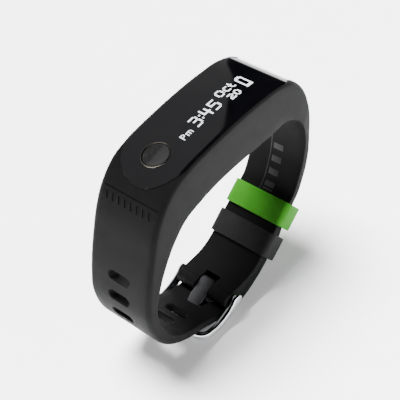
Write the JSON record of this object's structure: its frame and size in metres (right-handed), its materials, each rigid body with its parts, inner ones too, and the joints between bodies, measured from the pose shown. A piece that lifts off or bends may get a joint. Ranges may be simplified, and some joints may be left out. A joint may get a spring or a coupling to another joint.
{
  "type": "fitness tracker band",
  "caption": "Buckled silicone wristband with a built-in display capsule, push button, pin buckle, fixed-width strap, keeper and sliding free loop.",
  "frame": {"origin": "centre of the bounding box in plan, at its lowest point, which is the outer face of the hole strap under the buckle pin", "axes": "+X along the display away from the button, +Y across the band, +Z out of the display"},
  "size_m": [0.0642, 0.0206, 0.0564],
  "materials": {
    "silicone_black": "satin",
    "silicone_green": "satin",
    "window_gloss": "gloss",
    "trim_metal": "polished",
    "ring_metal": "satin",
    "tongue_metal": "satin",
    "pin_steel": "satin",
    "rotor_metal": "satin",
    "casing_plastic": "satin",
    "seal_rubber": "satin",
    "soft_rubber": "matte",
    "contact_gold": "polished",
    "display_glass": "gloss",
    "flex_film": "satin",
    "board_green": "satin",
    "chip_black": "matte",
    "ceramic": "matte",
    "battery_foil": "satin"
  },
  "bodies": {
    "band": {"wristband": "silicone_black", "front_window": "window_gloss", "end_trim": "trim_metal", "case_back": "casing_plastic", "case_frame": "casing_plastic", "case_seal": "seal_rubber", "case_screws": "pin_steel", "charge_contacts": "contact_gold", "window_tape": "soft_rubber", "button_ring": "ring_metal", "button_seal": "soft_rubber", "switch_body": "ceramic", "display_panel": "display_glass", "display_foam": "soft_rubber", "display_flex": "flex_film", "main_board": "board_green", "radio_chip": "chip_black", "motion_sensor": "chip_black", "memory_chip": "chip_black", "antenna": "ceramic", "small_parts": "ceramic", "battery": "battery_foil", "motor_can": "pin_steel", "motor_base": "pin_steel", "motor_shaft": "pin_steel", "buckle_pin": "pin_steel"},
    "button": {"button_cap": "window_gloss", "switch_plunger": "casing_plastic"},
    "motor": {"motor_rotor": "rotor_metal"},
    "buckle": {"buckle_frame": "trim_metal"},
    "tongue": {"buckle_tongue": "tongue_metal"},
    "keeper": {"keeper": "silicone_black"},
    "free_loop": {"free_loop": "silicone_green"}
  },
  "joints": [
    {"name": "button_press", "type": "slide", "parent": "band", "child": "button", "axis": [0.1564, 0, -0.9877], "range_m": [0, 0.0003], "stiffness_N_per_m": 300, "springref_m": -0.0005},
    {"name": "motor_spin", "type": "hinge", "parent": "band", "child": "motor", "pos_m": [-0.0075, 0, 0.0465], "axis": [0, 0, 1], "continuous": true},
    {"name": "buckle_swing", "type": "hinge", "parent": "band", "child": "buckle", "pos_m": [-0.005, 0, 0.0042], "axis": [0, -1, 0], "range_deg": [0, 6]},
    {"name": "tongue_swing", "type": "hinge", "parent": "band", "child": "tongue", "pos_m": [-0.005, 0, 0.0042], "axis": [0, -1, 0], "range_deg": [0, 6]},
    {"name": "keeper_slide", "type": "slide", "parent": "band", "child": "keeper", "axis": [0.848, 0, 0.5299], "range_m": [-0.001, 0.0008]},
    {"name": "loop_slide", "type": "slide", "parent": "band", "child": "free_loop", "axis": [0.848, 0, 0.5299], "range_m": [-0.001, 0.0025]}
  ],
  "couplings": [
    {"joint": "tongue_swing", "follows": "buckle_swing", "ratio": 1}
  ]
}
